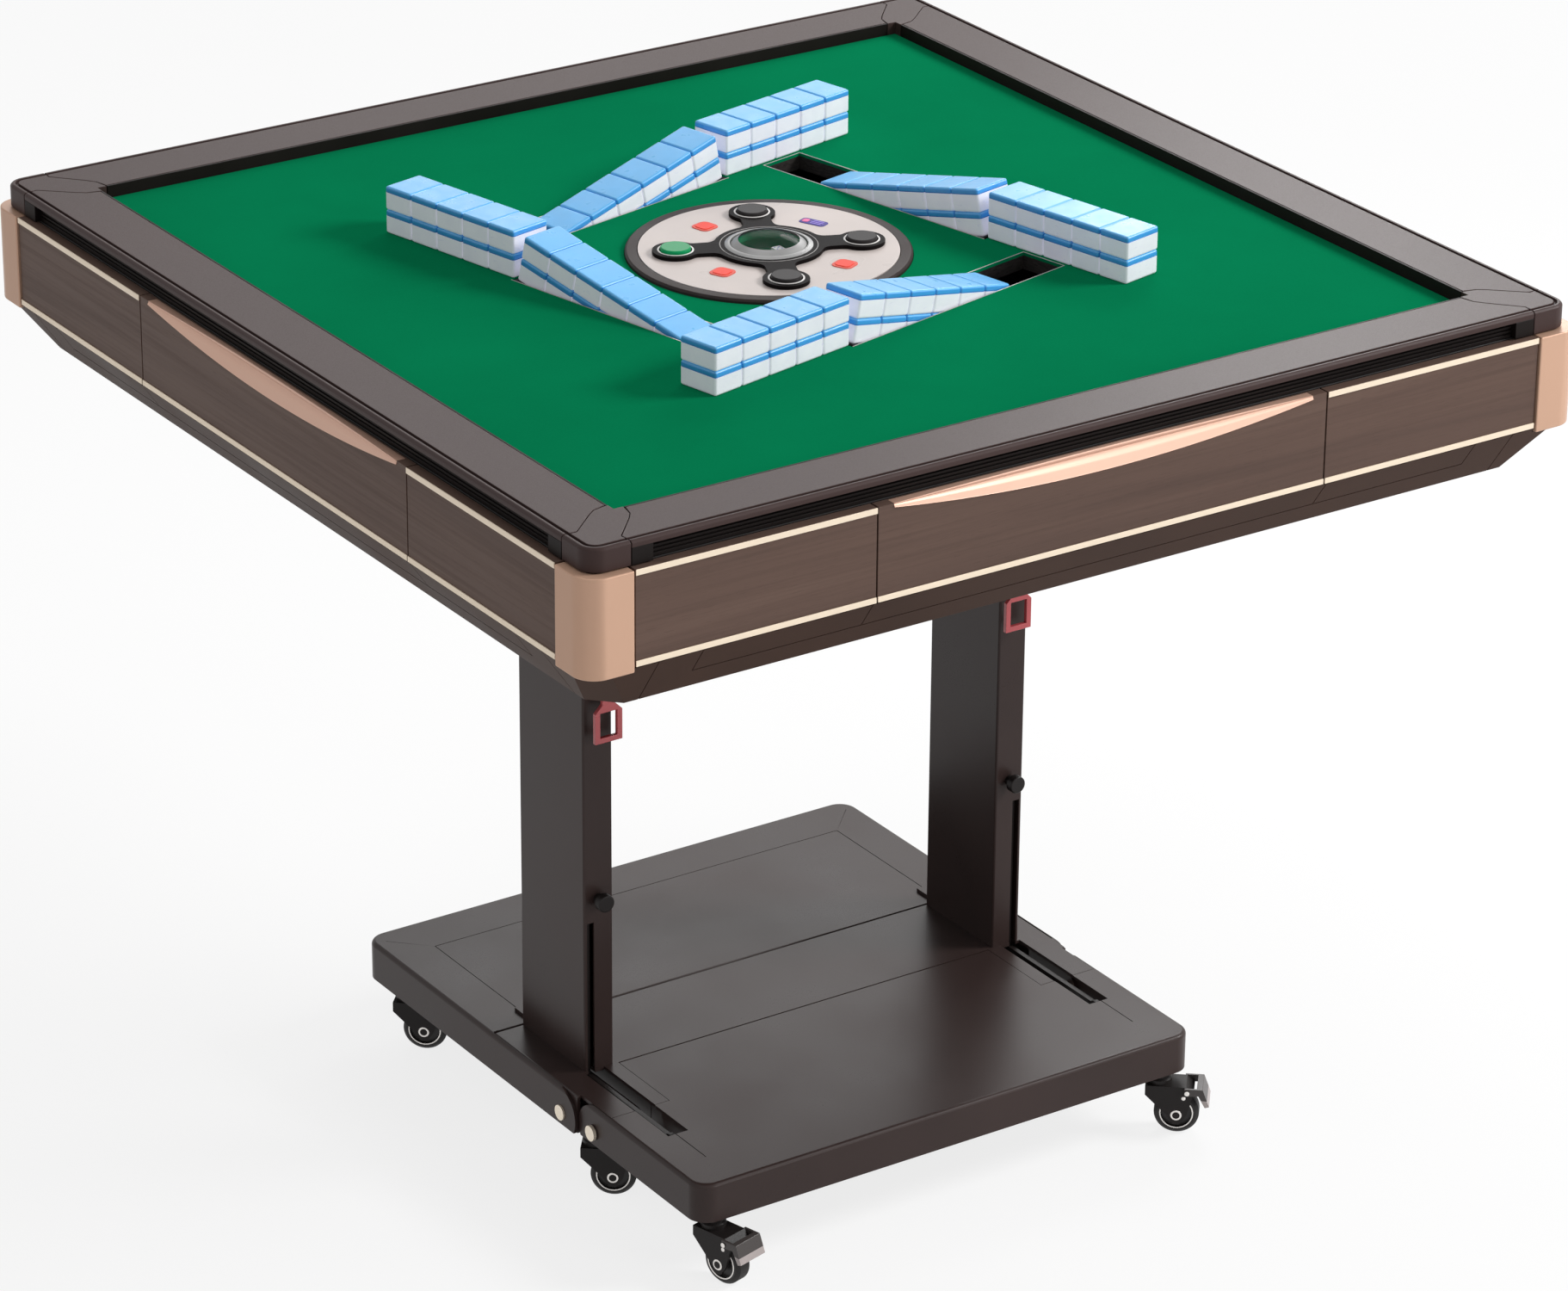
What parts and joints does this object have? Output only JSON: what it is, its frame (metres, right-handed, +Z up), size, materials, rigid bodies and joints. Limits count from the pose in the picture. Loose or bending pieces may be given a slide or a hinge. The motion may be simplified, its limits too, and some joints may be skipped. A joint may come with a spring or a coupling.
{
  "type": "folding automatic mahjong table with drawers",
  "caption": "Square mahjong table with a green mat, lifting centre console, tile ramps, side drawers and a folding two-column stand on casters.",
  "frame": {"origin": "on the floor under the middle of the table top", "axes": "+Z up, -Y towards the front of the stand, where the folding wing is, +X along the hinge pins"},
  "size_m": [0.97, 0.97, 0.825],
  "materials": {
    "stand_metal": "dark bronze powder coat, semi-gloss",
    "steel": "bare zinc-plated steel",
    "pin_brass": "pale gold pin heads",
    "latch_red": "dark red enamel",
    "black_plastic": "black, slightly rough",
    "shell_plastic": "bronze brown moulding, satin",
    "chassis": "plain mill finish, hidden",
    "walnut": "walnut grain, satin lacquer",
    "gold_trim": "pale gold anodised, brushed",
    "rose_gold": "rose-gold anodised, brushed",
    "rail_grey": "warm grey brown, soft sheen",
    "board": "plain panel, hidden",
    "mat_green": "deep green short-nap cloth",
    "white_plastic": "clean white, glossy",
    "tile": "white body with a pale blue back",
    "clear": "clear dome",
    "button": "pale plastic button, one lit green",
    "caster_black": "black stamped steel",
    "wheel": "black tread with a pale hub",
    "pedal_grey": "grey brake pedal"
  },
  "bodies": {
    "stand": {"rear_tray": "stand_metal", "mid_box": "stand_metal", "columns": "stand_metal", "column_fittings": "caster_black", "pivot_pins": "pin_brass"},
    "wing": {"front_wing": "stand_metal"},
    "links": {"fold_links": "steel"},
    "latch_left": {"latch_left": "latch_red"},
    "latch_right": {"latch_right": "latch_red"},
    "machine": {"bottom_shell": "shell_plastic", "chassis_frame": "chassis", "side_panels": "walnut", "panel_trims": "gold_trim", "corner_posts": "rose_gold", "frame_rails": "rail_grey", "frame_riser": "black_plastic", "table_board": "board", "table_mat": "mat_green", "center_collar": "black_plastic", "drive_unit": "steel", "tiles_on_mat": "tile"},
    "drum": {"shuffle_drum": "black_plastic"},
    "console": {"console_disc": "white_plastic", "console_cover": "black_plastic", "dice_dome": "clear"},
    "dice": {"dice_tray": "white_plastic"},
    "button_1": {"player_button_1": "button"},
    "button_2": {"player_button_2": "button"},
    "button_3": {"player_button_3": "button"},
    "button_4": {"player_button_4": "button"},
    "ramp_front": {"tile_ramp_front": "black_plastic", "ramp_tiles_front": "tile"},
    "ramp_right": {"tile_ramp_right": "black_plastic", "ramp_tiles_right": "tile"},
    "ramp_rear": {"tile_ramp_rear": "black_plastic", "ramp_tiles_rear": "tile"},
    "ramp_left": {"tile_ramp_left": "black_plastic", "ramp_tiles_left": "tile"},
    "drawer_front": {"drawer_front_front": "walnut", "drawer_tray_front": "black_plastic"},
    "drawer_right": {"drawer_front_right": "walnut", "drawer_tray_right": "black_plastic"},
    "drawer_rear": {"drawer_front_rear": "walnut", "drawer_tray_rear": "black_plastic"},
    "drawer_left": {"drawer_front_left": "walnut", "drawer_tray_left": "black_plastic"},
    "fork_front_left": {"caster_fork_front_left": "caster_black"},
    "wheel_front_left": {"caster_wheel_front_left": "wheel"},
    "pedal_front_left": {"brake_pedal_front_left": "pedal_grey"},
    "fork_front_right": {"caster_fork_front_right": "caster_black"},
    "wheel_front_right": {"caster_wheel_front_right": "wheel"},
    "pedal_front_right": {"brake_pedal_front_right": "pedal_grey"},
    "fork_middle_left": {"caster_fork_middle_left": "caster_black"},
    "wheel_middle_left": {"caster_wheel_middle_left": "wheel"},
    "fork_middle_right": {"caster_fork_middle_right": "caster_black"},
    "wheel_middle_right": {"caster_wheel_middle_right": "wheel"},
    "fork_rear_left": {"caster_fork_rear_left": "caster_black"},
    "wheel_rear_left": {"caster_wheel_rear_left": "wheel"},
    "fork_rear_right": {"caster_fork_rear_right": "caster_black"},
    "wheel_rear_right": {"caster_wheel_rear_right": "wheel"}
  },
  "joints": [
    {"name": "table_tilt", "type": "hinge", "parent": "stand", "child": "machine", "pos_m": [0, 0.012, 0.62], "axis": [1, 0, 0], "range_deg": [-90, 0]},
    {"name": "wing_fold", "type": "hinge", "parent": "stand", "child": "wing", "pos_m": [0, -0.126, 0.072], "axis": [1, 0, 0], "range_deg": [-90, 0]},
    {"name": "link_swing", "type": "hinge", "parent": "wing", "child": "links", "pos_m": [0, -0.196, 0.086], "axis": [1, 0, 0], "range_deg": [0, 90]},
    {"name": "latch_left_swing", "type": "hinge", "parent": "stand", "child": "latch_left", "pos_m": [-0.212, -0.079, 0.48], "axis": [-1, 0, 0], "range_deg": [0, 30]},
    {"name": "latch_right_swing", "type": "hinge", "parent": "stand", "child": "latch_right", "pos_m": [0.212, -0.079, 0.48], "axis": [-1, 0, 0], "range_deg": [0, 30]},
    {"name": "console_lift", "type": "slide", "parent": "machine", "child": "console", "axis": [0, 0, 1], "range_m": [0, 0.045]},
    {"name": "dice_spin", "type": "hinge", "parent": "console", "child": "dice", "pos_m": [0, 0, 0.775], "axis": [0, 0, 1], "continuous": true},
    {"name": "drum_spin", "type": "hinge", "parent": "machine", "child": "drum", "pos_m": [0, 0, 0.7], "axis": [0, 0, 1], "continuous": true},
    {"name": "button_1_press", "type": "slide", "parent": "console", "child": "button_1", "axis": [0, 0, -1], "range_m": [0, 0.002], "stiffness_N_per_m": 200, "springref_m": -0.002},
    {"name": "button_2_press", "type": "slide", "parent": "console", "child": "button_2", "axis": [0, 0, -1], "range_m": [0, 0.002], "stiffness_N_per_m": 200, "springref_m": -0.002},
    {"name": "button_3_press", "type": "slide", "parent": "console", "child": "button_3", "axis": [0, 0, -1], "range_m": [0, 0.002], "stiffness_N_per_m": 200, "springref_m": -0.002},
    {"name": "button_4_press", "type": "slide", "parent": "console", "child": "button_4", "axis": [0, 0, -1], "range_m": [0, 0.002], "stiffness_N_per_m": 200, "springref_m": -0.002},
    {"name": "ramp_front_lift", "type": "hinge", "parent": "machine", "child": "ramp_front", "pos_m": [-0.06347, -0.19369, 0.776], "axis": [0.2198, -0.9755, 0], "range_deg": [0, 12.5]},
    {"name": "ramp_right_lift", "type": "hinge", "parent": "machine", "child": "ramp_right", "pos_m": [0.19369, -0.06347, 0.776], "axis": [0.9755, 0.2198, 0], "range_deg": [0, 12.5]},
    {"name": "ramp_rear_lift", "type": "hinge", "parent": "machine", "child": "ramp_rear", "pos_m": [0.06347, 0.19369, 0.776], "axis": [-0.2198, 0.9755, 0], "range_deg": [0, 12.5]},
    {"name": "ramp_left_lift", "type": "hinge", "parent": "machine", "child": "ramp_left", "pos_m": [-0.19369, 0.06347, 0.776], "axis": [-0.9755, -0.2198, 0], "range_deg": [0, 12.5]},
    {"name": "drawer_front_slide", "type": "slide", "parent": "machine", "child": "drawer_front", "axis": [0, -1, 0], "range_m": [0, 0.11]},
    {"name": "drawer_right_slide", "type": "slide", "parent": "machine", "child": "drawer_right", "axis": [1, 0, 0], "range_m": [0, 0.11]},
    {"name": "drawer_rear_slide", "type": "slide", "parent": "machine", "child": "drawer_rear", "axis": [0, 1, 0], "range_m": [0, 0.11]},
    {"name": "drawer_left_slide", "type": "slide", "parent": "machine", "child": "drawer_left", "axis": [-1, 0, 0], "range_m": [0, 0.11]},
    {"name": "caster_front_left_swivel", "type": "hinge", "parent": "wing", "child": "fork_front_left", "pos_m": [-0.234, -0.278, 0.055], "axis": [0, 0, 1], "continuous": true},
    {"name": "caster_front_left_roll", "type": "hinge", "parent": "fork_front_left", "child": "wheel_front_left", "pos_m": [-0.22986, -0.29346, 0.02], "axis": [0.9659, 0.2588, 0], "continuous": true},
    {"name": "brake_front_left_press", "type": "hinge", "parent": "fork_front_left", "child": "pedal_front_left", "pos_m": [-0.22753, -0.30215, 0.0437], "axis": [0.9659, 0.2588, 0], "range_deg": [0, 15]},
    {"name": "caster_front_right_swivel", "type": "hinge", "parent": "wing", "child": "fork_front_right", "pos_m": [0.234, -0.278, 0.055], "axis": [0, 0, 1], "continuous": true},
    {"name": "caster_front_right_roll", "type": "hinge", "parent": "fork_front_right", "child": "wheel_front_right", "pos_m": [0.24626, -0.28829, 0.02], "axis": [0.6428, 0.766, 0], "continuous": true},
    {"name": "brake_front_right_press", "type": "hinge", "parent": "fork_front_right", "child": "pedal_front_right", "pos_m": [0.25315, -0.29407, 0.0437], "axis": [0.6428, 0.766, 0], "range_deg": [0, 15]},
    {"name": "caster_middle_left_swivel", "type": "hinge", "parent": "stand", "child": "fork_middle_left", "pos_m": [-0.242, -0.104, 0.055], "axis": [0, 0, 1], "continuous": true},
    {"name": "caster_middle_left_roll", "type": "hinge", "parent": "fork_middle_left", "child": "wheel_middle_left", "pos_m": [-0.22939, -0.11385, 0.02], "axis": [0.6157, 0.788, 0], "continuous": true},
    {"name": "caster_middle_right_swivel", "type": "hinge", "parent": "stand", "child": "fork_middle_right", "pos_m": [0.242, -0.104, 0.055], "axis": [0, 0, 1], "continuous": true},
    {"name": "caster_middle_right_roll", "type": "hinge", "parent": "fork_middle_right", "child": "wheel_middle_right", "pos_m": [0.25, -0.11786, 0.02], "axis": [0.866, 0.5, 0], "continuous": true},
    {"name": "caster_rear_left_swivel", "type": "hinge", "parent": "stand", "child": "fork_rear_left", "pos_m": [-0.242, 0.214, 0.055], "axis": [0, 0, 1], "continuous": true},
    {"name": "caster_rear_left_roll", "type": "hinge", "parent": "fork_rear_left", "child": "wheel_rear_left", "pos_m": [-0.23011, 0.20329, 0.02], "axis": [0.6691, 0.7431, 0], "continuous": true},
    {"name": "caster_rear_right_swivel", "type": "hinge", "parent": "stand", "child": "fork_rear_right", "pos_m": [0.242, 0.214, 0.055], "axis": [0, 0, 1], "continuous": true},
    {"name": "caster_rear_right_roll", "type": "hinge", "parent": "fork_rear_right", "child": "wheel_rear_right", "pos_m": [0.25228, 0.20174, 0.02], "axis": [0.766, 0.6428, 0], "continuous": true}
  ],
  "couplings": [
    {"joint": "wing_fold", "follows": "table_tilt", "ratio": 1},
    {"joint": "link_swing", "follows": "table_tilt", "ratio": -1},
    {"joint": "ramp_right_lift", "follows": "ramp_front_lift", "ratio": 1},
    {"joint": "ramp_rear_lift", "follows": "ramp_front_lift", "ratio": 1},
    {"joint": "ramp_left_lift", "follows": "ramp_front_lift", "ratio": 1}
  ]
}
